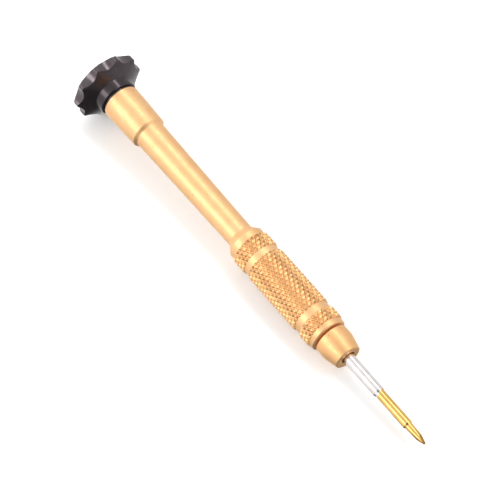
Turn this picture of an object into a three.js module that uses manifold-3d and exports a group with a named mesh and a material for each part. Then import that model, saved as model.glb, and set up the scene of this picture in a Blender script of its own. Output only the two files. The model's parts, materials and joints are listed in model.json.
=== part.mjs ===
// Watchmaker's screwdriver: a slim turned handle with a knurled grip, a scalloped cap that spins on a
// miniature ball bearing, and a cross-point blade held by a collet under a screwed nose.
// Millimetres, +Z up. The tool lies on the plane Z = 0, cap at -X, tip at +X, as it is put down on a bench.
import * as THREE from "three";
import { mergeVertices } from "three/addons/utils/BufferGeometryUtils.js";
import Module from "manifold-3d";

const wasm = await Module();
wasm.setup();

// ---- Driving dimensions. Stations run along the tool's axis from the top face of the cap. ----
const CAP = {
  lobes: 10,
  lobeRadius: 9.8,
  lobeHalfWidth: THREE.MathUtils.degToRad(2.5),
  scallopDepth: 1.14,
  topFlatRadius: 8.1,
  rimTop: 0.85,
  rimBottom: 2.5,
  collarTop: 4.45,
  collarEnd: 7.07,
  collarRadius: 5.3,
  collarBevel: 0.25,
};
const COVER = { radius: 6, recess: 0.12, thickness: 0.8 };
const BEARING = {
  boreRadius: 1.5,
  outerRadius: 4,
  width: 3,
  start: 3.07,
  balls: 7,
  ballRadius: 0.78,
  raceRadius: 0.81,
  pitchRadius: 2.75,
  landGap: 0.4,
  shieldThickness: 0.15,
  shieldGap: 0.06,
  rebate: 0.1,
  rebateWidth: 0.2,
  cageBack: 1.15,
  cageFront: 0.3,
};
const CIRCLIP = { inner: 3.35, outer: 4.25, thickness: 0.4, opening: THREE.MathUtils.degToRad(50) };
const SPACER = { flangeRadius: 4.8, flangeThickness: 0.62, bossRadius: 2.25, boreRadius: 1.53 };
const SCREW = {
  headRadius: 2.4,
  headHeight: 1.05,
  shoulderRadius: 1.46,
  threadRadius: 1.22,
  threadLength: 5.2,
  slotWidth: 0.6,
};
const HANDLE = {
  start: 7.85,
  sleeveTop: 5.08,
  sleeveEnd: { at: 19.8, r: 4.73 },
  waistStart: { at: 20.55, r: 4.05 },
  waistEnd: { at: 58.6, r: 3.5 },
  body: 4.94,
  knurl: 5.4,
  knurlBevel: 0.2,
  knurls: [
    [62.5, 66.7],
    [68.35, 86.78],
    [88.42, 92.3],
  ],
  gripStart: 60.75,
  gripEnd: 93.7,
  gripBevel: 0.3,
  spigotRadius: 2.95,
  spigotEnd: 97.8,
  tapRadius: 1.27,
  tapEnd: 13.8,
  boreRadius: 2.3,
  boreEnd: 82,
};
const NOSE = {
  start: 94.27,
  coneStart: 97.12,
  end: 101,
  radius: 4.43,
  endRadius: 3.62,
  rimRound: 0.3,
  threadRadius: 3.02,
  threadEnd: 98,
  seatStart: 98.1,
  seatEnd: 100.45,
  seatRadius: 2.75,
  boreRadius: 1.87,
};
const COLLET = {
  start: 86,
  boreRadius: 1.54,
  stemRadius: 2.22,
  headStart: 98,
  headRadius: 2.62,
  headEnd: 100.2,
  headEndRadius: 1.82,
  slits: 2,
  slitWidth: 0.35,
  slitStart: 90,
};
const BLADE = {
  back: 83,
  shankRadius: 1.5,
  shankEnd: 112.4,
  shaftStart: 113.1,
  shaftRadius: 1.26,
  shaftEnd: 123.3,
  neckStart: 123.7,
  neckRadius: 1.02,
  coneStart: 127.55,
  coneRadius: 0.87,
  tip: 129.65,
  tipRadius: 0.27,
  fluteStart: 125.0,
  fluteTipRadius: 0.09,
  fluteTurn: THREE.MathUtils.degToRad(24),
};
// Clearances between neighbours, and the small corner bevels of the pieces inside.
const FIT = { face: 0.03, seat: 0.04, axial: 0.05, groove: 0.08, cage: 0.1, head: 0.9 };
const CORNER = { cover: 0.15, screw: 0.2, shank: 0.3, colletHead: 0.15 };
// How the tool lies: the cap on two neighbouring lobes, the grip on the front edge of its last knurl.
const CONTACT = {
  cap: CAP.lobeRadius * Math.cos(Math.PI / CAP.lobes - CAP.lobeHalfWidth),
  grip: HANDLE.knurl,
};

// Sides of the turned pieces: the cap's are a multiple of its lobes, and the cage's of its balls.
const SIDES = { small: 28, cage: 42, handle: 48, cap: 60 };

const finish = {
  blackAnodised: { color: 0x2b2627, roughness: 0.38, metalness: 0.7 },
  goldAnodised: { color: 0xe3b266, roughness: 0.42, metalness: 0.8 },
  steel: { color: 0xb9bcc0, roughness: 0.3, metalness: 1 },
  hardSteel: { color: 0xd8dadd, roughness: 0.12, metalness: 1 },
  brassCage: { color: 0xb08a3e, roughness: 0.4, metalness: 1 },
  blackOxide: { color: 0x242322, roughness: 0.45, metalness: 0.8 },
  titaniumNitride: { color: 0xd7a63c, roughness: 0.15, metalness: 1 },
};

// ---- Ways of making a piece. Every piece is made about the X axis, in the tool's own frame. ----
function turned(profile, sides = SIDES.small) {
  const outline = profile.map(([radius, station]) => new THREE.Vector2(radius, station));
  return new THREE.LatheGeometry(outline, sides).rotateZ(-Math.PI / 2);
}

function ring(inner, outer, start, end, sides = SIDES.small) {
  return turned(
    [
      [inner, start],
      [outer, start],
      [outer, end],
      [inner, end],
      [inner, start],
    ],
    sides,
  );
}

function arc(radius, station, size, from, to, steps) {
  return Array.from({ length: steps + 1 }, (_, i) => {
    const angle = from + ((to - from) * i) / steps;
    return [radius + size * Math.cos(angle), station + size * Math.sin(angle)];
  });
}

function solid(geometry) {
  const shape = geometry.clone().deleteAttribute("normal").deleteAttribute("uv");
  const merged = mergeVertices(shape, 1e-4);
  return new wasm.Manifold(
    new wasm.Mesh({
      numProp: 3,
      vertProperties: new Float32Array(merged.attributes.position.array),
      triVerts: new Uint32Array(merged.index.array),
    }),
  );
}

function cut(geometry, cutters) {
  const left = cutters.reduce((body, cutter) => body.subtract(solid(cutter)), solid(geometry));
  const mesh = left.getMesh();
  const result = new THREE.BufferGeometry();
  result.setAttribute("position", new THREE.BufferAttribute(mesh.vertProperties, 3));
  result.setIndex(new THREE.BufferAttribute(mesh.triVerts, 1));
  result.computeVertexNormals();
  return result;
}

const tool = new THREE.Group();

function add(name, geometry, look) {
  const mesh = new THREE.Mesh(geometry, new THREE.MeshStandardMaterial(look));
  mesh.name = name;
  tool.add(mesh);
  return mesh;
}

// ---- The cap and what it carries ----
function scallopCutters() {
  const floor = CAP.lobeRadius - CAP.scallopDepth;
  const halfAngle = Math.PI / CAP.lobes - CAP.lobeHalfWidth;
  const centre =
    (CAP.lobeRadius ** 2 - floor ** 2) / (2 * (CAP.lobeRadius * Math.cos(halfAngle) - floor));
  const length = CAP.collarTop * 2;
  return Array.from({ length: CAP.lobes }, (_, i) => {
    const angle = (2 * Math.PI * i) / CAP.lobes;
    const cutter = new THREE.CylinderGeometry(centre - floor, centre - floor, length, 40);
    return cutter.rotateZ(Math.PI / 2).translate(0, 0, -centre).rotateX(angle);
  });
}

function capBody() {
  const bearingStart = BEARING.start - FIT.face;
  const bearingEnd = BEARING.start + BEARING.width;
  const seat = BEARING.outerRadius + FIT.seat;
  const groove = CIRCLIP.outer + FIT.groove;
  const coverSeat = COVER.radius + FIT.axial;
  const coverFloor = COVER.recess + COVER.thickness + FIT.axial;
  const screwRoom = SCREW.headRadius + FIT.head;
  const grooveEnd = bearingEnd + CIRCLIP.thickness + 2 * FIT.axial;
  return turned(
    [
      [coverSeat, 0],
      [CAP.topFlatRadius, 0],
      [(CAP.lobeRadius + CAP.topFlatRadius) / 2, CAP.rimTop / 3],
      [CAP.lobeRadius, CAP.rimTop],
      [CAP.lobeRadius, CAP.rimBottom],
      [CAP.collarRadius, CAP.collarTop],
      [CAP.collarRadius, CAP.collarEnd - CAP.collarBevel],
      [CAP.collarRadius - CAP.collarBevel, CAP.collarEnd],
      [seat, CAP.collarEnd],
      [seat, grooveEnd],
      [groove, grooveEnd],
      [groove, bearingEnd],
      [seat, bearingEnd],
      [seat, bearingStart],
      [screwRoom, bearingStart],
      [screwRoom, coverFloor],
      [coverSeat, coverFloor],
      [coverSeat, 0],
    ],
    SIDES.cap,
  );
}

function coverDisc() {
  const bevel = CORNER.cover;
  const end = COVER.recess + COVER.thickness;
  return turned([
    [0, COVER.recess],
    [COVER.radius - bevel, COVER.recess],
    [COVER.radius, COVER.recess + bevel],
    [COVER.radius, end],
    [0, end],
  ]);
}

function circlip() {
  const start = BEARING.start + BEARING.width + FIT.axial;
  const whole = ring(CIRCLIP.inner, CIRCLIP.outer, start, start + CIRCLIP.thickness);
  const width = 2 * CIRCLIP.outer * Math.sin(CIRCLIP.opening / 2);
  const slot = new THREE.BoxGeometry(2, width, 2 * CIRCLIP.outer);
  return cut(whole, [slot.translate(start, 0, CIRCLIP.outer)]);
}

// ---- The ball bearing ----
const bearingMiddle = BEARING.start + BEARING.width / 2;
const landInner = BEARING.pitchRadius - BEARING.landGap;
const landOuter = BEARING.pitchRadius + BEARING.landGap;
const raceHalfAngle = Math.acos(BEARING.landGap / BEARING.raceRadius);

function outerRace() {
  const start = BEARING.start;
  const end = start + BEARING.width;
  const rebate = BEARING.shieldThickness + BEARING.rebate;
  const shieldSeat = landOuter + BEARING.rebateWidth;
  return turned([
    [BEARING.outerRadius, start],
    [BEARING.outerRadius, end],
    [shieldSeat, end],
    [shieldSeat, end - rebate],
    [landOuter, end - rebate],
    ...arc(BEARING.pitchRadius, bearingMiddle, BEARING.raceRadius, raceHalfAngle, -raceHalfAngle, 6),
    [landOuter, start + rebate],
    [shieldSeat, start + rebate],
    [shieldSeat, start],
    [BEARING.outerRadius, start],
  ]);
}

function innerRace() {
  const start = BEARING.start;
  const end = start + BEARING.width;
  const turn = Math.PI;
  return turned([
    [BEARING.boreRadius, end],
    [BEARING.boreRadius, start],
    [landInner, start],
    ...arc(
      BEARING.pitchRadius,
      bearingMiddle,
      BEARING.raceRadius,
      turn + raceHalfAngle,
      turn - raceHalfAngle,
      6,
    ),
    [landInner, end],
    [BEARING.boreRadius, end],
  ]);
}

function shield(station) {
  const inner = landInner + BEARING.shieldGap;
  const outer = landOuter + BEARING.rebateWidth - FIT.axial;
  return ring(inner, outer, station, station + BEARING.shieldThickness);
}

function ballPlace(i) {
  const angle = (2 * Math.PI * i) / BEARING.balls;
  const r = BEARING.pitchRadius;
  return new THREE.Vector3(bearingMiddle, r * Math.sin(angle), r * Math.cos(angle));
}

function cage() {
  const back = bearingMiddle - BEARING.cageBack;
  const front = bearingMiddle + BEARING.cageFront;
  const pocket = BEARING.raceRadius + FIT.face;
  const band = ring(landInner + FIT.cage, landOuter - FIT.cage, back, front, SIDES.cage);
  const pockets = Array.from({ length: BEARING.balls }, (_, i) =>
    new THREE.SphereGeometry(pocket, 14, 10).translate(...ballPlace(i).toArray()),
  );
  return cut(band, pockets);
}

// ---- The pivot between the cap and the handle ----
function pivotScrew() {
  const headEnd = BEARING.start - FIT.face;
  const headStart = headEnd - SCREW.headHeight;
  const shoulderEnd = HANDLE.start - FIT.face;
  const threadEnd = shoulderEnd + SCREW.threadLength;
  const bevel = CORNER.screw;
  const screw = turned([
    [0, headStart],
    [SCREW.headRadius - bevel, headStart],
    [SCREW.headRadius, headStart + bevel],
    [SCREW.headRadius, headEnd],
    [SCREW.shoulderRadius, headEnd],
    [SCREW.shoulderRadius, shoulderEnd],
    [SCREW.threadRadius, shoulderEnd],
    [SCREW.threadRadius, threadEnd - bevel],
    [SCREW.threadRadius - bevel, threadEnd],
    [0, threadEnd],
  ]);
  const slot = new THREE.BoxGeometry(SCREW.headHeight, SCREW.slotWidth, SCREW.headRadius * 3);
  return cut(screw, [slot.translate(headStart, 0, 0)]);
}

function neckSpacer() {
  const bossStart = BEARING.start + BEARING.width + FIT.face;
  const end = HANDLE.start - FIT.face;
  const flangeStart = end - SPACER.flangeThickness;
  return turned([
    [SPACER.boreRadius, bossStart],
    [SPACER.bossRadius, bossStart],
    [SPACER.bossRadius, flangeStart],
    [SPACER.flangeRadius, flangeStart],
    [SPACER.flangeRadius, end],
    [SPACER.boreRadius, end],
    [SPACER.boreRadius, bossStart],
  ]);
}

// ---- The handle ----
function knurlBand([start, end]) {
  return [
    [HANDLE.body, start],
    [HANDLE.knurl, start + HANDLE.knurlBevel],
    [HANDLE.knurl, end - HANDLE.knurlBevel],
    [HANDLE.body, end],
  ];
}

function handle() {
  return turned(
    [
      [0, HANDLE.tapEnd],
      [HANDLE.tapRadius, HANDLE.tapEnd],
      [HANDLE.tapRadius, HANDLE.start],
      [HANDLE.sleeveTop, HANDLE.start],
      [HANDLE.sleeveEnd.r, HANDLE.sleeveEnd.at],
      [HANDLE.waistStart.r, HANDLE.waistStart.at],
      [HANDLE.waistEnd.r, HANDLE.waistEnd.at],
      [HANDLE.body, HANDLE.gripStart],
      ...HANDLE.knurls.flatMap(knurlBand),
      [HANDLE.body, HANDLE.gripEnd - HANDLE.gripBevel],
      [HANDLE.body - HANDLE.gripBevel, HANDLE.gripEnd],
      [HANDLE.spigotRadius, HANDLE.gripEnd],
      [HANDLE.spigotRadius, HANDLE.spigotEnd],
      [HANDLE.boreRadius, HANDLE.spigotEnd],
      [HANDLE.boreRadius, HANDLE.boreEnd],
      [0, HANDLE.boreEnd],
    ],
    SIDES.handle,
  );
}

// ---- The nose, the collet and the blade ----
function noseNut() {
  const round = NOSE.rimRound;
  return turned(
    [
      [NOSE.threadRadius, NOSE.start],
      [NOSE.radius, NOSE.start],
      [NOSE.radius, NOSE.coneStart],
      [NOSE.endRadius, NOSE.end - round],
      ...arc(NOSE.endRadius - round, NOSE.end - round, round, Math.PI / 8, Math.PI / 2, 3),
      [NOSE.boreRadius, NOSE.end],
      [NOSE.boreRadius, NOSE.seatEnd],
      [NOSE.seatRadius, NOSE.seatStart],
      [NOSE.threadRadius, NOSE.threadEnd],
      [NOSE.threadRadius, NOSE.start],
    ],
    SIDES.handle,
  );
}

function collet() {
  const body = turned(
    [
      [COLLET.boreRadius, COLLET.start],
      [COLLET.stemRadius, COLLET.start],
      [COLLET.stemRadius, COLLET.headStart - CORNER.colletHead],
      [COLLET.headRadius, COLLET.headStart],
      [COLLET.headEndRadius, COLLET.headEnd],
      [COLLET.boreRadius, COLLET.headEnd],
      [COLLET.boreRadius, COLLET.start],
    ],
  );
  const length = 2 * (COLLET.headEnd - COLLET.slitStart);
  const slits = Array.from({ length: COLLET.slits }, (_, i) =>
    new THREE.BoxGeometry(length, COLLET.slitWidth, 3 * COLLET.headRadius)
      .translate(COLLET.slitStart + length / 2, 0, 0)
      .rotateX((Math.PI * i) / COLLET.slits),
  );
  return cut(body, slits);
}

function fluteCutter(i) {
  const length = 8;
  const side = 3;
  const rise = Math.atan2(
    BLADE.neckRadius - BLADE.fluteTipRadius,
    BLADE.tip - BLADE.fluteStart,
  );
  return new THREE.BoxGeometry(length, side, side)
    .translate(0, side / 2, side / 2)
    .rotateX(Math.PI / 4 - Math.PI / 2)
    .rotateZ(-rise)
    .translate(BLADE.tip, BLADE.fluteTipRadius, 0)
    .rotateX(BLADE.fluteTurn + (Math.PI / 2) * (i + 0.5));
}

function blade() {
  const bevel = CORNER.shank;
  const body = turned(
    [
      [0, BLADE.back],
      [BLADE.shankRadius - bevel, BLADE.back],
      [BLADE.shankRadius, BLADE.back + bevel],
      [BLADE.shankRadius, BLADE.shankEnd],
      [BLADE.shaftRadius, BLADE.shaftStart],
      [BLADE.shaftRadius, BLADE.shaftEnd],
      [BLADE.neckRadius, BLADE.neckStart],
      [BLADE.coneRadius, BLADE.coneStart],
      [BLADE.tipRadius, BLADE.tip],
      [0, BLADE.tip],
    ],
  );
  return cut(body, [0, 1, 2, 3].map(fluteCutter));
}

// ---- The assembly ----
add("swivel_cap", cut(capBody(), scallopCutters()), finish.blackAnodised);
add("cap_cover_disc", coverDisc(), finish.blackAnodised);
add("cap_retaining_ring", circlip(), finish.steel);
add("bearing_outer_race", outerRace(), finish.hardSteel);
add("bearing_inner_race", innerRace(), finish.hardSteel);
const upperShield = BEARING.start + FIT.axial;
const lowerShield = BEARING.start + BEARING.width - BEARING.shieldThickness - FIT.axial;
add("bearing_shield_upper", shield(upperShield), finish.steel);
add("bearing_shield_lower", shield(lowerShield), finish.steel);
add("bearing_cage", cage(), finish.brassCage);
for (let i = 0; i < BEARING.balls; i += 1) {
  const ball = add(
    `bearing_ball_${i + 1}`,
    new THREE.IcosahedronGeometry(BEARING.ballRadius, 2),
    finish.hardSteel,
  );
  ball.position.copy(ballPlace(i));
}
add("pivot_screw", pivotScrew(), finish.blackOxide);
add("neck_spacer", neckSpacer(), finish.blackAnodised);
add("handle", handle(), finish.goldAnodised);
add("nose_nut", noseNut(), finish.goldAnodised);
add("collet", collet(), finish.steel);
add("blade", blade(), finish.titaniumNitride);

// ---- Laid down: the axis dips to the tip, and the origin is under the middle of the tool's box ----
const capContact = CAP.rimBottom;
const gripContact = HANDLE.knurls.at(-1)[1] - HANDLE.knurlBevel;
const dip = Math.atan2(CONTACT.cap - CONTACT.grip, gripContact - capContact);
const back = -CAP.topFlatRadius * Math.sin(dip);
const front = BLADE.tip * Math.cos(dip) + BLADE.tipRadius * Math.sin(dip);
tool.rotation.y = dip;
tool.position.set(
  -(back + front) / 2,
  0,
  capContact * Math.sin(dip) + CONTACT.cap * Math.cos(dip),
);

const part = new THREE.Group();
part.add(tool);
export default part;
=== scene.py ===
import json
from math import acos, atan2, cos, hypot, pi, radians, sin, sqrt

import bpy
from mathutils import Matrix, Vector


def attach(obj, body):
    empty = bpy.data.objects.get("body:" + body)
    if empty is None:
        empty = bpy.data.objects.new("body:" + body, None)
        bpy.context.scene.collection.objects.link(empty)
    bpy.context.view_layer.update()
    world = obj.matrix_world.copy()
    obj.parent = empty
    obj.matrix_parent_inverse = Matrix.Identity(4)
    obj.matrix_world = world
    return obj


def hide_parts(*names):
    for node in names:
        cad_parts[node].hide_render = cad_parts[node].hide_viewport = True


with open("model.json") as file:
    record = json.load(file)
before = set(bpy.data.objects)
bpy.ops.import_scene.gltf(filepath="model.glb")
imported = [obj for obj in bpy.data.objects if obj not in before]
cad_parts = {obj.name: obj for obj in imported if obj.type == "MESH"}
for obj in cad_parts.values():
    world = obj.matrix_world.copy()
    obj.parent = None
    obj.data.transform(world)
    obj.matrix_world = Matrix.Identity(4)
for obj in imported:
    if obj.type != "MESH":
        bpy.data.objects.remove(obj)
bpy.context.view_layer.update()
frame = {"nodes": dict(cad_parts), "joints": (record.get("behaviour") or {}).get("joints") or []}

# ---------------------------------------------------------------------------------------------
# Handle: one aluminium bar, turned to a sleeve, a long tapered waist and a grip, then blasted
# with fine glass bead and anodised gold. The rear end is tapped for the pivot screw, and the
# front end is bored out for the collet and threaded outside for the nose.
# ---------------------------------------------------------------------------------------------
mm = 0.001
swivel = next(joint for joint in frame["joints"] if joint["name"] == "cap_swivel")
axis = Vector(swivel["axis"]).normalized()
dip = atan2(-axis.z, axis.x)
cap_face = min(v.co.dot(axis) for v in frame["nodes"]["swivel_cap"].data.vertices)
on_axis = Vector(swivel["pos_m"])
cap_centre = on_axis + axis * (cap_face - on_axis.dot(axis))


def select_only(piece):
    if bpy.context.mode != "OBJECT":
        bpy.ops.object.mode_set(mode="OBJECT")
    bpy.ops.object.select_all(action="DESELECT")
    piece.select_set(True)
    bpy.context.view_layer.objects.active = piece


def editing(piece, select="DESELECT", mode="VERT"):
    select_only(piece)
    bpy.context.tool_settings.mesh_select_mode = [mode == m for m in ("VERT", "EDGE", "FACE")]
    bpy.ops.object.mode_set(mode="EDIT")
    bpy.ops.mesh.select_all(action=select)


def apply_modifier(piece, kind, **settings):
    select_only(piece)
    modifier = piece.modifiers.new(kind.title(), kind)
    for key, value in settings.items():
        setattr(modifier, key, value)
    bpy.ops.object.modifier_apply(modifier=modifier.name)


def turned(name, outline, steps=128, edge=0.06, first_turn=0.0):
    """A piece turned about the X axis from a closed outline of (station, radius) in mm."""
    bpy.ops.object.select_all(action="DESELECT")
    bpy.ops.mesh.primitive_plane_add(size=mm)
    piece = bpy.context.object
    piece.name = piece.data.name = name
    editing(piece, "SELECT")
    bpy.ops.mesh.merge(type="CENTER")
    points = [Vector((at * mm, 0, r * mm)) for at, r in outline]
    if outline[0][1] > 0:
        points.append(points[0])
    bpy.ops.transform.translate(value=points[0])
    for here, there in zip(points, points[1:]):
        bpy.ops.mesh.extrude_vertices_move(TRANSFORM_OT_translate={"value": there - here})
    bpy.ops.mesh.select_all(action="SELECT")
    if first_turn:
        bpy.ops.transform.rotate(
            value=first_turn, orient_axis="X", center_override=(0, 0, 0)
        )
    bpy.ops.mesh.spin(
        steps=steps, angle=2 * pi, use_auto_merge=False, center=(0, 0, 0), axis=(1, 0, 0)
    )
    bpy.ops.mesh.select_all(action="SELECT")
    bpy.ops.mesh.remove_doubles(threshold=0.002 * mm)
    bpy.ops.mesh.dissolve_degenerate(threshold=0.001 * mm)
    bpy.ops.mesh.select_all(action="SELECT")
    bpy.ops.mesh.normals_make_consistent(inside=False)
    bpy.ops.object.mode_set(mode="OBJECT")
    if edge:
        apply_modifier(
            piece, "BEVEL", width=edge * mm, segments=3, limit_method="ANGLE",
            angle_limit=radians(14), use_clamp_overlap=True,
        )
    return piece


def lay_down(piece, body, material, replaced, smooth=28):
    """Lays a piece made about the X axis where the tool lies, and gives it its finish."""
    select_only(piece)
    piece.rotation_euler = (0, dip, 0)
    piece.location = cap_centre
    bpy.ops.object.transform_apply(location=True, rotation=True, scale=True)
    bpy.ops.object.shade_smooth_by_angle(angle=radians(smooth))
    piece.data.materials.clear()
    piece.data.materials.append(material)
    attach(piece, body)
    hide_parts(replaced)


def new_finish(name, colour, metallic, roughness):
    """A material and its node maker; patterns are in mm along and around the tool's axis."""
    material = bpy.data.materials.new(name)
    material.use_nodes = True
    tree = material.node_tree
    shader = tree.nodes["Principled BSDF"]
    shader.inputs["Base Color"].default_value = (*colour, 1)
    shader.inputs["Metallic"].default_value = metallic
    shader.inputs["Roughness"].default_value = roughness

    def node(kind, **values):
        made = tree.nodes.new("ShaderNode" + kind)
        for key, value in values.items():
            if key in made.inputs:
                socket = made.inputs[key]
                if isinstance(value, bpy.types.NodeSocket):
                    tree.links.new(value, socket)
                else:
                    socket.default_value = value
            else:
                setattr(made, key, value)
        return made

    place = node("Mapping", vector_type="TEXTURE", Vector=node("TexCoord").outputs["Object"])
    place.inputs["Location"].default_value = cap_centre
    place.inputs["Rotation"].default_value = (0, dip, 0)
    place.inputs["Scale"].default_value = (mm, mm, mm)
    return material, node, place.outputs["Vector"], shader, tree.links.new


def math_of(node, operation, a, b):
    made = node("Math", operation=operation)
    for socket, value in zip(made.inputs, (a, b)):
        if isinstance(value, bpy.types.NodeSocket):
            made.id_data.links.new(value, socket)
        else:
            socket.default_value = value
    return made.outputs[0]


def ramp_of(node, value, stops):
    """A colour ramp with stops of (position, colour), fed by value."""
    made = node("ValToRGB", Fac=value)
    elements = made.color_ramp.elements
    while len(elements) < len(stops):
        elements.new(0.5)
    for element, (position, colour) in zip(elements, stops):
        element.position = position
        element.color = (*colour, 1)
    return made.outputs["Color"]


def mix_of(node, factor, a, b, blend="MIX"):
    made = node("Mix", data_type="RGBA", blend_type=blend)
    for index, value in ((0, factor), (6, a), (7, b)):
        if isinstance(value, bpy.types.NodeSocket):
            made.id_data.links.new(value, made.inputs[index])
        else:
            made.inputs[index].default_value = value
    return made.outputs[2]


def noise_of(node, where, scale, detail=2.0, rough=0.5, stretch=(1, 1, 1)):
    moved = node("Mapping", Vector=where)
    moved.inputs["Scale"].default_value = stretch
    made = node("TexNoise", Vector=moved.outputs[0], Scale=scale, Detail=detail)
    made.inputs["Roughness"].default_value = rough
    return made.outputs["Fac"]


def radius_of(node, where):
    flat = node("VectorMath", operation="MULTIPLY")
    flat.id_data.links.new(where, flat.inputs[0])
    flat.inputs[1].default_value = (0, 1, 1)
    length = node("VectorMath", operation="LENGTH")
    length.id_data.links.new(flat.outputs[0], length.inputs[0])
    return length.outputs["Value"]


def between(node, value, low, high):
    """Rises from 0 to 1 as value goes from low to high."""
    made = node("MapRange", Value=value)
    made.inputs["From Min"].default_value = low
    made.inputs["From Max"].default_value = high
    return made.outputs[0]


def gold_finish(name, colour, deep, roughness, hollow_shade=None):
    """Gold anodising over a bead-blasted skin: fine pitting, soft mottling, a few dark pores.

    The last argument is (radius, radius, colour) and paints shade into the bottoms of grooves:
    the skin is multiplied by that colour below the first radius, fading out by the second."""
    material, node, where, shader, link = new_finish(name, colour, 0.85, roughness)
    mottle = noise_of(node, where, 0.35, 3)
    blast = noise_of(node, where, 9.0, 4, 0.62)
    pores = noise_of(node, where, 2.1, 1, 0.4)
    skin = ramp_of(node, mottle, [(0.3, deep), (0.72, colour)])
    grain = ramp_of(node, blast, [(0.3, (0.93, 0.91, 0.88)), (0.7, (1, 1, 1))])
    skin = mix_of(node, 1.0, skin, grain, "MULTIPLY")
    # painted shade: below the given radii, in the groove bottoms, the skin is multiplied by a
    # darker colour
    if hollow_shade:
        low, high, sunk = hollow_shade
        raised = between(node, radius_of(node, where), low, high)
        skin = mix_of(node, raised, mix_of(node, 1.0, skin, (*sunk, 1), "MULTIPLY"), skin)
    pore = math_of(node, "GREATER_THAN", pores, 0.765)
    dark = tuple(0.45 * c for c in deep)
    link(mix_of(node, pore, skin, (*dark, 1)), shader.inputs["Base Color"])
    rough = ramp_of(
        node, noise_of(node, where, 0.9, 3),
        [(0.3, (roughness - 0.05,) * 3), (0.7, (roughness + 0.05,) * 3)],
    )
    link(rough, shader.inputs["Roughness"])
    bump = node("Bump", Height=blast, Strength=0.5, Distance=0.006 * mm)
    link(bump.outputs["Normal"], shader.inputs["Normal"])
    return material


gold = gold_finish("gold_bead_blasted", (0.96, 0.61, 0.31), (0.91, 0.545, 0.265), 0.48)

sleeve_start, sleeve_top, sleeve_end, sleeve_end_r = 7.85, 5.08, 19.8, 4.73
waist_start, waist_start_r, waist_end, waist_end_r = 20.55, 4.05, 58.6, 3.5
grip_start, grip_r, grip_end, grip_chamfer = 60.75, 4.94, 93.7, 0.3
spigot_r, spigot_end, tap_r, tap_end, bore_r, bore_end = 2.95, 97.8, 1.27, 13.8, 2.3, 82.0
handle = turned(
    "handle_bar",
    [
        (tap_end, 0),
        (tap_end, tap_r),
        (sleeve_start, tap_r),
        (sleeve_start, sleeve_top),
        (sleeve_end, sleeve_end_r),
        (waist_start, waist_start_r),
        (waist_end, waist_end_r),
        (grip_start, grip_r),
        (grip_end - grip_chamfer, grip_r),
        (grip_end, grip_r - grip_chamfer),
        (grip_end, spigot_r),
        (spigot_end, spigot_r),
        (spigot_end, bore_r),
        (bore_end, bore_r),
        (bore_end, 0),
    ],
    steps=160,
    edge=0.1,
)
lay_down(handle, "handle", gold, "handle", smooth=20)

# ---------------------------------------------------------------------------------------------
# Grip knurls: three bands rolled into the bar between plain lands. Twenty-six grooves run each
# way round the grip, about 30 degrees from its axis, and leave rows of blunt diamonds. Each band
# is chamfered at both ends.
# ---------------------------------------------------------------------------------------------
# The knurled gold is a slightly darker copy of the handle's gold, which paints in some of the
# knurl's shade, and its last argument paints more shade into the groove bottoms.
knurl_gold = gold_finish(
    "gold_knurled", (0.91, 0.575, 0.29), (0.85, 0.5, 0.24), 0.32,
    hollow_shade=(4.95, 5.3, (0.8, 0.68, 0.52)),
)
knurl_r, knurl_starts, knurl_pitch, knurl_chamfer = 5.4, 26, 2.2, 0.2
groove_r, flank, flank_rise, crest, crest_rise = 4.9, 0.25, 0.34, 0.2, 0.17
knurl_foot_r, hair = grip_r - 0.05, 0.01


def pick(piece, wanted, mode="VERT"):
    """Selects, in edit mode, the vertices, edges or faces for which wanted(place) is true."""
    editing(piece, mode=mode)
    bpy.ops.object.mode_set(mode="OBJECT")
    mesh = piece.data
    if mode == "VERT":
        chosen = [v for v in mesh.vertices if wanted(v.co)]
    elif mode == "EDGE":
        chosen = [e for e in mesh.edges if wanted(*(mesh.vertices[i].co for i in e.vertices))]
    else:
        chosen = [f for f in mesh.polygons if wanted(f)]
    for item in chosen:
        item.select = True
    bpy.ops.object.mode_set(mode="EDIT")


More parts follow.
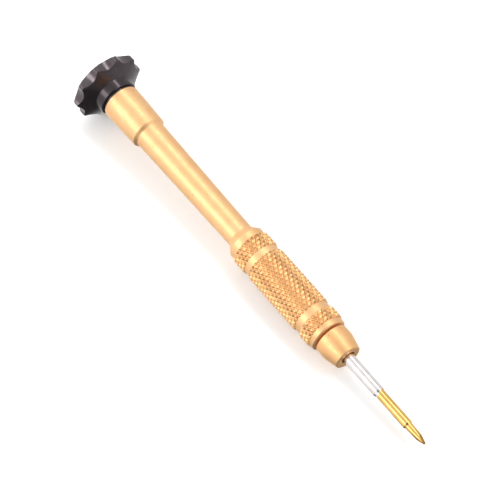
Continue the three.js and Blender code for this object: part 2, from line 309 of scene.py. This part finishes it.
def knurled(name, start, end):
    first = int(start / knurl_pitch) - 1
    rows = int(end / knurl_pitch) + 2 - first
    bpy.ops.object.select_all(action="DESELECT")
    bpy.ops.mesh.primitive_circle_add(
        vertices=knurl_starts, radius=groove_r * mm,
        rotation=(0, pi / 2, 0), location=(first * knurl_pitch * mm, 0, 0),
    )
    band = bpy.context.object
    band.name = band.data.name = name
    bpy.ops.object.transform_apply(location=True, rotation=True, scale=True)
    editing(band, "SELECT")
    for _ in range(rows):
        bpy.ops.mesh.extrude_region_move(
            TRANSFORM_OT_translate={"value": (knurl_pitch * mm, 0, 0)}
        )
    bpy.ops.mesh.select_all(action="SELECT")
    bpy.ops.mesh.normals_make_consistent(inside=False)
    bpy.ops.mesh.poke()
    on_chord = groove_r * cos(pi / knurl_starts) + hair
    pick(band, lambda p: hypot(p.y, p.z) < on_chord * mm)
    out = 1 / cos(pi / knurl_starts)
    bpy.ops.transform.resize(value=(1, out, out), center_override=(0, 0, 0))

    # the square net's own edges go, which leaves the diamonds between the grooves
    def of_net(a, b):
        level = abs(a.x - b.x) < hair * mm
        along = (a - b).length > 0.9 * knurl_pitch * mm
        return level or along

    pick(band, of_net, "EDGE")
    bpy.ops.mesh.dissolve_edges(use_verts=False)
    bpy.ops.mesh.select_all(action="SELECT")
    bpy.ops.transform.edge_crease(value=0.8)
    bpy.ops.mesh.select_mode(type="FACE")
    bpy.ops.mesh.select_all(action="SELECT")
    bpy.ops.mesh.inset(
        use_individual=True, thickness=flank * mm, depth=flank_rise * mm, use_boundary=True
    )
    bpy.ops.mesh.inset(
        use_individual=True, thickness=crest * mm, depth=crest_rise * mm, use_boundary=True
    )
    bpy.ops.object.mode_set(mode="OBJECT")
    apply_modifier(band, "SUBSURF", levels=1, render_levels=1)
    for at, way in ((start + knurl_chamfer, -1), (end - knurl_chamfer, 1)):
        editing(band, "SELECT")
        bpy.ops.mesh.bisect(
            plane_co=(at * mm, 0, 0), plane_no=(way, 0, 0), use_fill=True, clear_outer=True
        )
        bpy.ops.object.mode_set(mode="OBJECT")

        def is_end(face):
            return len(face.vertices) > 2 * knurl_starts and abs(face.center.x / mm - at) < hair

        pick(band, is_end, "FACE")
        bpy.ops.mesh.extrude_region_move(
            TRANSFORM_OT_translate={"value": (way * knurl_chamfer * mm, 0, 0)}
        )
        narrow = knurl_foot_r / knurl_r
        bpy.ops.transform.resize(value=(1, narrow, narrow), center_override=(0, 0, 0))
    bpy.ops.mesh.select_all(action="SELECT")
    bpy.ops.mesh.normals_make_consistent(inside=False)
    bpy.ops.object.mode_set(mode="OBJECT")
    lay_down(band, "handle", knurl_gold, "handle", smooth=50)


knurled("knurl_rear", 62.5, 66.7)
knurled("knurl_main", 68.35, 86.78)
knurled("knurl_front", 88.42, 92.3)

# ---------------------------------------------------------------------------------------------
# Neck spacer: a thin black flanged bush that stands on the handle's rear face. Its boss carries
# the bearing's inner race, and its flange keeps the cap clear of the sleeve.
# ---------------------------------------------------------------------------------------------


def black_finish(name, colour, roughness, streaks, zones=None):
    """Black anodising over a machined skin, with fine cutter lines along or round the axis.

    zones is (rim radius, rim colour, cone's apex, cone's slope, collar radius, cone colour)."""
    material, node, where, shader, link = new_finish(name, colour, 0.85, roughness)
    lines = noise_of(node, where, 1.0, 3, 0.6, stretch=streaks)
    cloud = noise_of(node, where, 0.5, 3)
    fine = noise_of(node, where, 14.0, 3, 0.6)
    worn = tuple(1.5 * c for c in colour)
    tint = ramp_of(node, lines, [(0.35, colour), (0.75, worn)])
    if zones:
        rim_r, rim_colour, apex, slope, inner_r, cone_colour = zones
        out = radius_of(node, where)
        bright = tuple(1.7 * c for c in rim_colour)
        milled = ramp_of(node, lines, [(0.35, rim_colour), (0.7, bright)])
        tint = mix_of(node, between(node, out, rim_r, rim_r + 0.3), tint, milled)
        station = node("SeparateXYZ", Vector=where).outputs["X"]
        past = math_of(node, "ADD", station, math_of(node, "MULTIPLY", out, slope))
        on_cone = math_of(
            node, "MULTIPLY",
            between(node, past, apex - 0.12, apex - 0.04),
            between(node, out, inner_r, inner_r + 0.1),
        )
        tint = mix_of(node, on_cone, tint, (*cone_colour, 1))
    cloudy = ramp_of(node, cloud, [(0.3, (0.85, 0.85, 0.86)), (0.7, (1.12, 1.1, 1.1))])
    link(mix_of(node, 1.0, tint, cloudy, "MULTIPLY"), shader.inputs["Base Color"])
    rough = ramp_of(
        node, lines, [(0.3, (roughness - 0.08,) * 3), (0.75, (roughness + 0.1,) * 3)]
    )
    link(rough, shader.inputs["Roughness"])
    height = math_of(node, "ADD", lines, math_of(node, "MULTIPLY", fine, 0.35))
    bump = node("Bump", Height=height, Strength=0.35, Distance=0.012 * mm)
    link(bump.outputs["Normal"], shader.inputs["Normal"])
    return material


round_lines = (9.0, 0.12, 0.12)
long_lines = (0.15, 7.0, 7.0)
black_turned = black_finish("black_turned", (0.05, 0.042, 0.045), 0.28, round_lines)
flange_r, flange_thickness, boss_r, boss_bore, face_gap = 4.8, 0.62, 2.25, 1.53, 0.03
bearing_start, bearing_width = 3.07, 3.0
bearing_end = bearing_start + bearing_width
spacer_end = sleeve_start - face_gap
spacer = turned(
    "neck_bush",
    [
        (bearing_end + face_gap, boss_bore),
        (bearing_end + face_gap, boss_r),
        (spacer_end - flange_thickness, boss_r),
        (spacer_end - flange_thickness, flange_r),
        (spacer_end, flange_r),
        (spacer_end, boss_bore),
    ],
)
lay_down(spacer, "handle", black_turned, "neck_spacer")

# ---------------------------------------------------------------------------------------------
# Bearing races: the two ground steel rings of a 3 x 8 x 3 mm ball bearing. The inner one is
# clamped by the pivot screw, and the outer one is pressed into the cap and turns with it.
# ---------------------------------------------------------------------------------------------


def steel_finish(name, colour, roughness, lines=(14.0, 0.1, 0.1)):
    """Bright metal with fine grinding lines and a faint cloud of handling marks."""
    material, node, where, shader, link = new_finish(name, colour, 1.0, roughness)
    ground = noise_of(node, where, 1.0, 4, 0.6, stretch=lines)
    cloud = noise_of(node, where, 0.8, 3)
    dull = tuple(0.86 * c for c in colour)
    tint = ramp_of(node, cloud, [(0.3, dull), (0.65, colour)])
    link(tint, shader.inputs["Base Color"])
    rough = ramp_of(
        node, ground, [(0.3, (roughness * 0.7,) * 3), (0.75, (roughness * 1.4,) * 3)]
    )
    link(rough, shader.inputs["Roughness"])
    bump = node("Bump", Height=ground, Strength=0.2, Distance=0.004 * mm)
    link(bump.outputs["Normal"], shader.inputs["Normal"])
    return material


bearing_steel = steel_finish("bearing_steel", (0.72, 0.73, 0.75), 0.16)
bearing_bore, bearing_r, ball_circle, land_gap, groove_size = 1.5, 4.0, 2.75, 0.4, 0.81
shield_thickness, shield_rebate, rebate_width, axial_gap = 0.15, 0.1, 0.2, 0.05
bearing_middle = bearing_start + bearing_width / 2
land_inner, land_outer = ball_circle - land_gap, ball_circle + land_gap
groove_half = acos(land_gap / groove_size)


def groove(side):
    """The race's groove, from its front edge to its back edge; side is 1 outside, -1 inside."""
    angles = [groove_half * (1 - i / 6) for i in range(13)]
    return [
        (bearing_middle + groove_size * sin(a), ball_circle + side * groove_size * cos(a))
        for a in angles
    ]


rebate_depth = shield_thickness + shield_rebate
rebate_r = land_outer + rebate_width
outer_race = turned(
    "race_outer",
    [
        (bearing_start, bearing_r),
        (bearing_end, bearing_r),
        (bearing_end, rebate_r),
        (bearing_end - rebate_depth, rebate_r),
        (bearing_end - rebate_depth, land_outer),
        *groove(1),
        (bearing_start + rebate_depth, land_outer),
        (bearing_start + rebate_depth, rebate_r),
        (bearing_start, rebate_r),
    ],
    edge=0.04,
)
lay_down(outer_race, "cap", bearing_steel, "bearing_outer_race")
inner_race = turned(
    "race_inner",
    [
        (bearing_start, bearing_bore),
        (bearing_start, land_inner),
        *reversed(groove(-1)),
        (bearing_end, land_inner),
        (bearing_end, bearing_bore),
    ],
    edge=0.04,
)
lay_down(inner_race, "handle", bearing_steel, "bearing_inner_race")

# ---------------------------------------------------------------------------------------------
# Balls and cage: seven polished balls, kept apart by a pressed brass ring with a pocket for
# each. The ring goes round at a little under two thirds of the cap's speed.
# ---------------------------------------------------------------------------------------------
ball_steel = steel_finish("ball_steel", (0.80, 0.81, 0.83), 0.07, lines=(3.0, 3.0, 3.0))
cage_brass = steel_finish("cage_brass", (0.68, 0.46, 0.16), 0.3)
balls, ball_r, pocket_r, cage_back, cage_front, cage_gap = 7, 0.78, 0.84, 1.15, 0.3, 0.1


def cut_with(piece, cutter):
    apply_modifier(piece, "BOOLEAN", object=cutter, operation="DIFFERENCE", solver="EXACT")
    bpy.data.objects.remove(cutter)


def ball_place(i):
    angle = 2 * pi * i / balls
    middle = Vector((bearing_middle, sin(angle) * ball_circle, cos(angle) * ball_circle))
    return middle * mm


cage = turned(
    "ball_cage_ring",
    [
        (bearing_middle - cage_back, land_inner + cage_gap),
        (bearing_middle - cage_back, land_outer - cage_gap),
        (bearing_middle + cage_front, land_outer - cage_gap),
        (bearing_middle + cage_front, land_inner + cage_gap),
    ],
    steps=112,
    edge=0.03,
)
for i in range(balls):
    bpy.ops.mesh.primitive_uv_sphere_add(
        segments=32, ring_count=16, radius=pocket_r * mm, location=ball_place(i)
    )
    cut_with(cage, bpy.context.object)
lay_down(cage, "ball_cage", cage_brass, "bearing_cage")

for i in range(balls):
    bpy.ops.object.select_all(action="DESELECT")
    bpy.ops.mesh.primitive_cube_add(size=ball_r * mm, location=ball_place(i))
    ball = bpy.context.object
    ball.name = ball.data.name = f"ball_{i + 1}"
    editing(ball, "SELECT")
    bpy.ops.mesh.subdivide(number_cuts=15)
    bpy.ops.transform.tosphere(value=1)
    bpy.ops.object.mode_set(mode="OBJECT")
    size = ball_r * mm / max(v.co.length for v in ball.data.vertices)
    ball.scale = (size, size, size)
    bpy.ops.object.transform_apply(location=True, rotation=True, scale=True)
    lay_down(ball, "ball_cage", ball_steel, f"bearing_ball_{i + 1}", smooth=60)

# ---------------------------------------------------------------------------------------------
# Shields and circlip: two thin pressed discs that close the bearing, and the open spring ring
# in its groove that keeps the bearing in the cap.
# ---------------------------------------------------------------------------------------------
spring_steel = steel_finish("spring_steel", (0.56, 0.57, 0.58), 0.28)
shield_inner, shield_outer = land_inner + 0.06, rebate_r - axial_gap


def flat_ring(name, inner, outer, start, thickness, edge):
    return turned(
        name,
        [
            (start, inner),
            (start, outer),
            (start + thickness, outer),
            (start + thickness, inner),
        ],
        edge=edge,
    )


lower_shield_at = bearing_end - shield_thickness - axial_gap
for name, node_name, at in (
    ("shield_top", "bearing_shield_upper", bearing_start + axial_gap),
    ("shield_bottom", "bearing_shield_lower", lower_shield_at),
):
    shield = flat_ring(name, shield_inner, shield_outer, at, shield_thickness, 0.03)
    lay_down(shield, "cap", spring_steel, node_name)

clip_inner, clip_outer, clip_thickness, clip_opening = 3.35, 4.25, 0.4, radians(50)
clip_start = bearing_end + axial_gap
circlip = flat_ring("circlip", clip_inner, clip_outer, clip_start, clip_thickness, 0.05)
bpy.ops.mesh.primitive_cube_add(
    size=1,
    scale=(
        5 * clip_thickness * mm, 2 * clip_outer * sin(clip_opening / 2) * mm, 2 * clip_outer * mm,
    ),
    location=(clip_start * mm, 0, clip_outer * mm),
)
cut_with(circlip, bpy.context.object)
lay_down(circlip, "cap", spring_steel, "cap_retaining_ring")

# ---------------------------------------------------------------------------------------------
# Pivot screw: a slotted shoulder screw of blackened steel. Its shoulder passes through the
# bearing and the spacer, and its thread holds them on the handle.
# ---------------------------------------------------------------------------------------------
screw_black = steel_finish("screw_black_oxide", (0.05, 0.048, 0.046), 0.34)
head_r, head_height, shoulder_r, thread_r, thread_length = 2.4, 1.05, 1.46, 1.22, 5.2
slot_width, screw_bevel, thread_pitch, thread_depth = 0.6, 0.2, 0.45, 0.24
head_end = bearing_start - face_gap
head_start = head_end - head_height
shoulder_end = sleeve_start - face_gap
thread_end = shoulder_end + thread_length
turns = int((thread_length - screw_bevel) / thread_pitch)
ridges = [
    (shoulder_end + (i + step) * thread_pitch, thread_r - depth)
    for i in range(turns)
    for step, depth in ((0.1, thread_depth), (0.3, thread_depth), (0.6, 0), (0.75, 0))
]
screw = turned(
    "shoulder_screw",
    [
        (head_start, 0),
        (head_start, head_r - screw_bevel),
        (head_start + screw_bevel, head_r),
        (head_end, head_r),
        (head_end, shoulder_r),
        (shoulder_end, shoulder_r),
        *ridges,
        (thread_end - screw_bevel, thread_r - thread_depth),
        (thread_end, thread_r - thread_depth - screw_bevel),
        (thread_end, 0),
    ],
    steps=96,
    edge=0.03,
)
bpy.ops.mesh.primitive_cube_add(
    size=1,
    scale=(head_height * mm, slot_width * mm, 3 * head_r * mm),
    location=(head_start * mm, 0, 0),
)
cut_with(screw, bpy.context.object)
lay_down(screw, "handle", screw_black, "pivot_screw")

# ---------------------------------------------------------------------------------------------
# Swivel cap: turned from black-anodised aluminium with a crowned top, a coned underside and a
# collar round the bearing. Ten scallops milled along the axis leave narrow lobes for the palm
# and fingertip.
# ---------------------------------------------------------------------------------------------
lobes, lobe_r, lobe_half, scallop_depth = 10, 9.8, radians(2.5), 1.14
crown_r, crown_end, rim_end, collar_start = 8.1, 0.85, 2.5, 4.45
collar_r, collar_end, collar_bevel = 5.3, 7.07, 0.25
cover_r, cover_recess, cover_thickness, screw_room = 6.0, 0.12, 0.8, 3.3
scallop_half = pi / lobes - lobe_half
floor_r = lobe_r - scallop_depth
scallop_centre = (lobe_r**2 - floor_r**2) / (2 * (lobe_r * cos(scallop_half) - floor_r))
scallop_r = scallop_centre - floor_r
seat_r, clip_groove_r = bearing_r + 0.04, clip_outer + 0.08
clip_groove_end = bearing_end + clip_thickness + 2 * axial_gap
cover_seat_r = cover_r + axial_gap
cover_floor = cover_recess + cover_thickness + axial_gap
under_slope = (collar_start - rim_end) / (lobe_r - collar_r)
crown_steps, under_steps, crown_power, hair_angle = 6, 5, 1.6, radians(0.2)


def crown(r):
    """How far the crowned top has fallen at radius r."""
    return crown_end * max(0.0, (r - crown_r) / (lobe_r - crown_r)) ** crown_power


def under(r):
    """Where the coned underside is at radius r."""
    return rim_end + under_slope * (lobe_r - r)


def shares(inner, outer, count):
    return [inner + (outer - inner) * i / count for i in range(count + 1)]


black_milled = black_finish(
    "black_milled", (0.055, 0.046, 0.05), 0.18, long_lines,
    zones=(
        crown_r, (0.095, 0.08, 0.086), collar_start + under_slope * collar_r, under_slope,
        collar_r + 0.05, (0.078, 0.065, 0.072),
    ),
)
cap = turned(
    "cap_body",
    [
        (0, cover_seat_r),
        *((crown(r), r) for r in shares(crown_r, lobe_r, crown_steps)),
        *((under(r), r) for r in reversed(shares(collar_r, lobe_r, under_steps))),
        (collar_end - collar_bevel, collar_r),
        (collar_end, collar_r - collar_bevel),
        (collar_end, seat_r),
        (clip_groove_end, seat_r),
        (clip_groove_end, clip_groove_r),
        (bearing_end, clip_groove_r),
        (bearing_end, seat_r),
        (bearing_start - face_gap, seat_r),
        (bearing_start - face_gap, screw_room),
        (cover_floor, screw_room),
        (cover_floor, cover_seat_r),
    ],
    steps=360,
    edge=0,
    first_turn=radians(0.5),
)


def scallop_at(angle):
    """The radius of the scalloped edge at an angle from the middle of a scallop."""
    if angle > scallop_half:
        return lobe_r
    return scallop_centre * cos(angle) - sqrt(scallop_r**2 - (scallop_centre * sin(angle)) ** 2)


# the skin's columns of points stand a degree apart, and those in a scallop are drawn in
for degree in range(180 // lobes):
    angle = radians(degree + 0.5)
    edge_r = scallop_at(angle)
    if lobe_r - edge_r < hair:
        continue
    moves = [
        (r, inner + (r - inner) * (edge_r - inner) / (lobe_r - inner), surface)
        for inner, steps, surface in (
            (crown_r, crown_steps, crown), (collar_r, under_steps, under),
        )
        for r in shares(inner, lobe_r, steps)[1:]
    ]
    for r, new_r, surface in moves:
        at = surface(r)

        def on_ring(p):
            near = max(abs(p.x / mm - at), abs(hypot(p.y, p.z) / mm - r)) < 2 * hair
            turn = (atan2(p.y, p.z) + pi / lobes) % (2 * pi / lobes) - pi / lobes
            return near and abs(abs(turn) - angle) < hair_angle

        pick(cap, on_ring)
        bpy.ops.transform.resize(
            value=(1, new_r / r, new_r / r), center_override=(0, 0, 0)
        )
        bpy.ops.transform.translate(value=((surface(new_r) - at) * mm, 0, 0))
bpy.ops.mesh.select_all(action="SELECT")
bpy.ops.mesh.normals_make_consistent(inside=False)
bpy.ops.object.mode_set(mode="OBJECT")
apply_modifier(
    cap, "BEVEL", width=0.07 * mm, segments=2, limit_method="ANGLE",
    angle_limit=radians(18), use_clamp_overlap=False,
)
lay_down(cap, "cap", black_milled, "swivel_cap", smooth=26)

# ---------------------------------------------------------------------------------------------
# Cover disc: a thin black disc pressed into the cap's top over the screw, a hair below the rim,
# with the fine rings left by facing it in the lathe.
# ---------------------------------------------------------------------------------------------
cover_bevel, ring_count, ring_depth = 0.15, 30, 0.012
cover_end = cover_recess + cover_thickness
rings = [
    (cover_recess + (i % 2) * ring_depth, (cover_r - 2 * cover_bevel) * i / ring_count)
    for i in range(ring_count + 1)
]
cover = turned(
    "cover_disc",
    [
        *rings,
        (cover_recess, cover_r - cover_bevel),
        (cover_recess + cover_bevel, cover_r),
        (cover_end, cover_r),
        (cover_end, 0),
    ],
    edge=0,
)
lay_down(cover, "cap", black_turned, "cap_cover_disc", smooth=50)

# ---------------------------------------------------------------------------------------------
# Collet: a slit steel sleeve inside the front of the handle. The nose's inner cone squeezes its
# head on to the blade's shank.
# ---------------------------------------------------------------------------------------------
collet_start, collet_bore, stem_r, collet_head_start = 86.0, 1.54, 2.22, 98.0
collet_head_r, collet_end, collet_end_r, collet_corner = 2.62, 100.2, 1.82, 0.15
slit_width, slit_start = 0.35, 90.0
oiled_steel = steel_finish("collet_oiled_steel", (0.07, 0.055, 0.045), 0.5)
collet = turned(
    "collet_sleeve",
    [
        (collet_start, collet_bore),
        (collet_start, stem_r),
        (collet_head_start - collet_corner, stem_r),
        (collet_head_start, collet_head_r),
        (collet_end, collet_end_r),
        (collet_end, collet_bore),
    ],
    edge=0.04,
)
for turn in (0, pi / 2):
    bpy.ops.mesh.primitive_cube_add(
        size=1,
        scale=(2 * (collet_end - slit_start) * mm, slit_width * mm, 3 * collet_head_r * mm),
        location=(collet_end * mm, 0, 0),
        rotation=(turn, 0, 0),
    )
    cut_with(collet, bpy.context.object)
lay_down(collet, "collet", oiled_steel, "collet")

# ---------------------------------------------------------------------------------------------
# Blade: a hardened steel bit, nickel-plated on its shank. The slimmer front is coated with gold
# titanium nitride, steps down to a neck, and ends in four ground flutes and a cross point.
# ---------------------------------------------------------------------------------------------
blade_back, shank_r, shank_end, shank_bevel = 83.0, 1.5, 112.4, 0.3
shaft_start, shaft_r, shaft_end = 113.1, 1.26, 123.3
neck_start, neck_r, cone_start, cone_r = 123.7, 1.02, 127.55, 0.87
tip_at, tip_r, flute_start, flute_tip_r = 129.65, 0.27, 125.0, 0.09
neck_fall = (neck_r - cone_r) / (cone_start - neck_start)
cone_fall = (cone_r - tip_r) / (tip_at - cone_start)
coat_edge, coat_slant, coat_side = 113.15, 0.35, (0, 0.93, 0.37)
coat_wave, coat_fade, ground_depth, ground_fade = 0.25, 0.25, 0.02, 0.05
# the last of these colours is a dark copy of the nitride, painted shade for the flutes
nickel, nitride, nitride_dull, nitride_flute_shade = (
    (0.90, 0.85, 0.84), (0.90, 0.57, 0.19), (0.80, 0.48, 0.14), (0.32, 0.17, 0.055),
)
blade_steel, node, where, shader, link = new_finish("nickel_and_nitride", nickel, 1.0, 0.2)
split = node("SeparateXYZ", Vector=where).outputs
wavy = math_of(node, "MULTIPLY", noise_of(node, where, 1.3, 2), coat_wave)
lean = node("VectorMath", operation="DOT_PRODUCT")
link(where, lean.inputs[0])
lean.inputs[1].default_value = coat_side
lean = math_of(node, "MULTIPLY", lean.outputs["Value"], coat_slant)
slanted = math_of(node, "ADD", split["X"], lean)
coated = between(
    node, math_of(node, "ADD", slanted, wavy), coat_edge, coat_edge + coat_fade
)
ground = noise_of(node, where, 1.0, 4, 0.6, stretch=(7.0, 0.1, 0.1))
tone = noise_of(node, where, 0.45, 3)
bare = ramp_of(node, tone, [(0.3, tuple(0.88 * c for c in nickel)), (0.65, nickel)])
coat = ramp_of(node, tone, [(0.3, nitride_dull), (0.65, nitride)])


def taper(start, start_r, fall):
    """The radius of a tapering side at each station."""
    past = math_of(node, "SUBTRACT", split["X"], start)
    return math_of(node, "ADD", math_of(node, "MULTIPLY", past, -fall), start_r)


outside = math_of(
    node, "MINIMUM",
    taper(neck_start, neck_r, neck_fall), taper(cone_start, cone_r, cone_fall),
)
below = math_of(node, "SUBTRACT", outside, radius_of(node, where))
# painted shade: below the ground depth in the flutes, the nitride colour gives way to a dark copy
# of it
sunk = between(node, below, ground_depth, ground_depth + ground_fade)
fluted = between(node, split["X"], flute_start, flute_start + 4 * ground_fade)
in_flute = math_of(node, "MULTIPLY", sunk, fluted)
coat = mix_of(node, in_flute, coat, (*nitride_flute_shade, 1))
link(mix_of(node, coated, bare, coat), shader.inputs["Base Color"])
rough = ramp_of(node, ground, [(0.3, (0.13,) * 3), (0.75, (0.26,) * 3)])
link(rough, shader.inputs["Roughness"])
bump = node("Bump", Height=ground, Strength=0.25, Distance=0.006 * mm)
link(bump.outputs["Normal"], shader.inputs["Normal"])

blade = turned(
    "cross_blade",
    [
        (blade_back, 0),
        (blade_back, shank_r - shank_bevel),
        (blade_back + shank_bevel, shank_r),
        (shank_end, shank_r),
        (shaft_start, shaft_r),
        (shaft_end, shaft_r),
        (neck_start, neck_r),
        (cone_start, cone_r),
        (tip_at, tip_r),
        (tip_at, 0),
    ],
    edge=0.06,
)
flute_length, flute_side, flute_turn = 8.0, 3.0, radians(24)
flute_rise = atan2(neck_r - flute_tip_r, tip_at - flute_start)
for i in range(4):
    bpy.ops.object.select_all(action="DESELECT")
    bpy.ops.mesh.primitive_cube_add(size=1)
    flute = bpy.context.object
    shape = (
        Matrix.Rotation(flute_turn + pi / 2 * (i + 0.5), 4, "X")
        @ Matrix.Translation(Vector((tip_at, flute_tip_r, 0)) * mm)
        @ Matrix.Rotation(-flute_rise, 4, "Z")
        @ Matrix.Rotation(-pi / 4, 4, "X")
        @ Matrix.Translation(Vector((0, flute_side / 2, flute_side / 2)) * mm)
        @ Matrix.Diagonal((flute_length * mm, flute_side * mm, flute_side * mm, 1))
    )
    flute.matrix_world = shape
    cut_with(blade, flute)
lay_down(blade, "blade", blade_steel, "blade")

# ---------------------------------------------------------------------------------------------
# Nose: the gold-anodised nut that screws over the handle's spigot. It tapers to a small rounded
# rim, and its inner cone closes the collet.
# ---------------------------------------------------------------------------------------------
nose_gold = gold_finish("gold_nose", (0.94, 0.565, 0.265), (0.88, 0.5, 0.225), 0.46)
nose_start, nose_cone, nose_end, nose_r, nose_end_r = 94.27, 97.12, 101.0, 4.43, 3.62
rim_round, nose_thread_r, nose_thread_end = 0.3, 3.02, 98.0
seat_start, seat_end, nose_seat_r, nose_bore = 98.1, 100.45, 2.75, 1.87
rim_angles = [pi / 8 + (pi / 2 - pi / 8) * i / 5 for i in range(6)]
nose = turned(
    "nose_shell",
    [
        (nose_start, nose_thread_r),
        (nose_start, nose_r),
        (nose_cone, nose_r),
        (nose_end - rim_round, nose_end_r),
        *(
            (nose_end - rim_round + rim_round * sin(a), nose_end_r - rim_round * (1 - cos(a)))
            for a in rim_angles
        ),
        (nose_end, nose_bore),
        (seat_end, nose_bore),
        (seat_start, nose_seat_r),
        (nose_thread_end, nose_thread_r),
    ],
    steps=160,
    edge=0.07,
)
lay_down(nose, "nose", nose_gold, "nose_nut", smooth=20)

# ---------------------------------------------------------------------------------------------
# Studio: a plain pale floor, a white surround that darkens ahead of the tool and below it, and
# three long soft boxes, two in front and one behind, whose reflections run along the handle.
# ---------------------------------------------------------------------------------------------
scene = bpy.context.scene
azimuth, elevation, roll = radians(52.47), radians(56.35), radians(0.1)
aim_along, aim_aside, distance, lens = 62.9, 0.522, 538.6, 157.4
back = Vector(
    (sin(azimuth) * cos(elevation), -cos(azimuth) * cos(elevation), sin(elevation))
)
right = Vector((cos(azimuth), sin(azimuth), 0))
up = back.cross(right)
right, up = right * cos(roll) + up * sin(roll), up * cos(roll) - right * sin(roll)
across = (back - axis * back.dot(axis)).cross(axis).normalized()
aim = cap_centre + axis * aim_along * mm - across * aim_aside * mm

bpy.ops.object.camera_add()
camera = bpy.context.object
camera.matrix_world = Matrix.Translation(aim + back * distance * mm) @ Matrix(
    (right, up, back)
).transposed().to_4x4()
camera.data.lens = lens
camera.data.sensor_width = 36
camera.data.clip_start = 0.01
scene.camera = camera

toward = (back - axis * back.dot(axis)).normalized()
box_distance, box_length = 0.6, 0.9


def soft_box(name, way, width, power):
    """A long soft box that stands that way from the tool and runs along it."""
    bpy.ops.object.light_add(type="AREA")
    lamp = bpy.context.object
    lamp.name = lamp.data.name = name
    lamp.data.shape = "RECTANGLE"
    lamp.data.size, lamp.data.size_y = box_length, width
    lamp.data.energy = power
    side = way.cross(axis).normalized()
    lamp.matrix_world = Matrix.Translation(aim + way * box_distance) @ Matrix(
        (side.cross(way), side, way)
    ).transposed().to_4x4()


def mirrored(turn):
    """The way that the handle's skin reflects when turned that far from the camera."""
    seen = toward * cos(2 * turn) + across * sin(2 * turn)
    return (seen * toward.dot(back) - axis * back.dot(axis)).normalized()


soft_box("soft_box_left", mirrored(radians(-19)), 0.24, 1.8)
soft_box("soft_box_right", mirrored(radians(23)), 0.12, 1.3)
soft_box("soft_box_behind", Vector((0.7, 0.38, 0.6)).normalized(), 0.2, 0.9)

world = scene.world or bpy.data.worlds.new("surround")
scene.world = world
world.use_nodes = True
surround = world.node_tree.nodes["Background"]
surround.inputs["Strength"].default_value = 1.0
under_tool = (axis * 0.5 - toward * 0.6 - across * 0.62).normalized()
ahead = (axis * 0.86 + toward * 0.5).normalized()
sky = world.node_tree.nodes
join = world.node_tree.links.new
looking = sky.new("ShaderNodeTexCoord").outputs["Generated"]


def fall_off(way, near, near_level, far, far_level):
    """A grey that changes with how far a direction looks along way."""
    facing = sky.new("ShaderNodeVectorMath")
    facing.operation = "DOT_PRODUCT"
    facing.inputs[1].default_value = way
    fall = sky.new("ShaderNodeMapRange")
    levels = {"From Min": near, "To Min": near_level, "From Max": far, "To Max": far_level}
    for key, value in levels.items():
        fall.inputs[key].default_value = value
    join(looking, facing.inputs[0])
    join(facing.outputs["Value"], fall.inputs["Value"])
    return fall.outputs[0]


level = fall_off(across, -0.8, 1.06, 0.8, 0.8)
for shade in (
    fall_off(under_tool, 0.55, 1.0, 0.85, 0.1),
    fall_off(ahead, 0.6, 1.0, 0.94, 0.3),
    fall_off(back, 0.94, 1.0, 0.985, 0.1),
):
    both = sky.new("ShaderNodeMath")
    both.operation = "MULTIPLY"
    join(level, both.inputs[0])
    join(shade, both.inputs[1])
    level = both.outputs[0]
join(level, surround.inputs["Color"])

floor_finish, node, where, shader, link = new_finish("pale_floor", (0.9, 0.9, 0.9), 0, 0.9)
tone = ramp_of(node, noise_of(node, where, 0.01, 2), [(0.3, (0.89,) * 3), (0.7, (0.92,) * 3)])
link(tone, shader.inputs["Base Color"])
shader.inputs["Emission Color"].default_value = (1, 0.99, 0.98, 1)
shader.inputs["Emission Strength"].default_value = 0.2
bpy.ops.mesh.primitive_plane_add(size=3)
floor = bpy.context.object
floor.name = "floor"
floor.data.materials.append(floor_finish)
floor.visible_glossy = False
scene.view_settings.view_transform = "Standard"
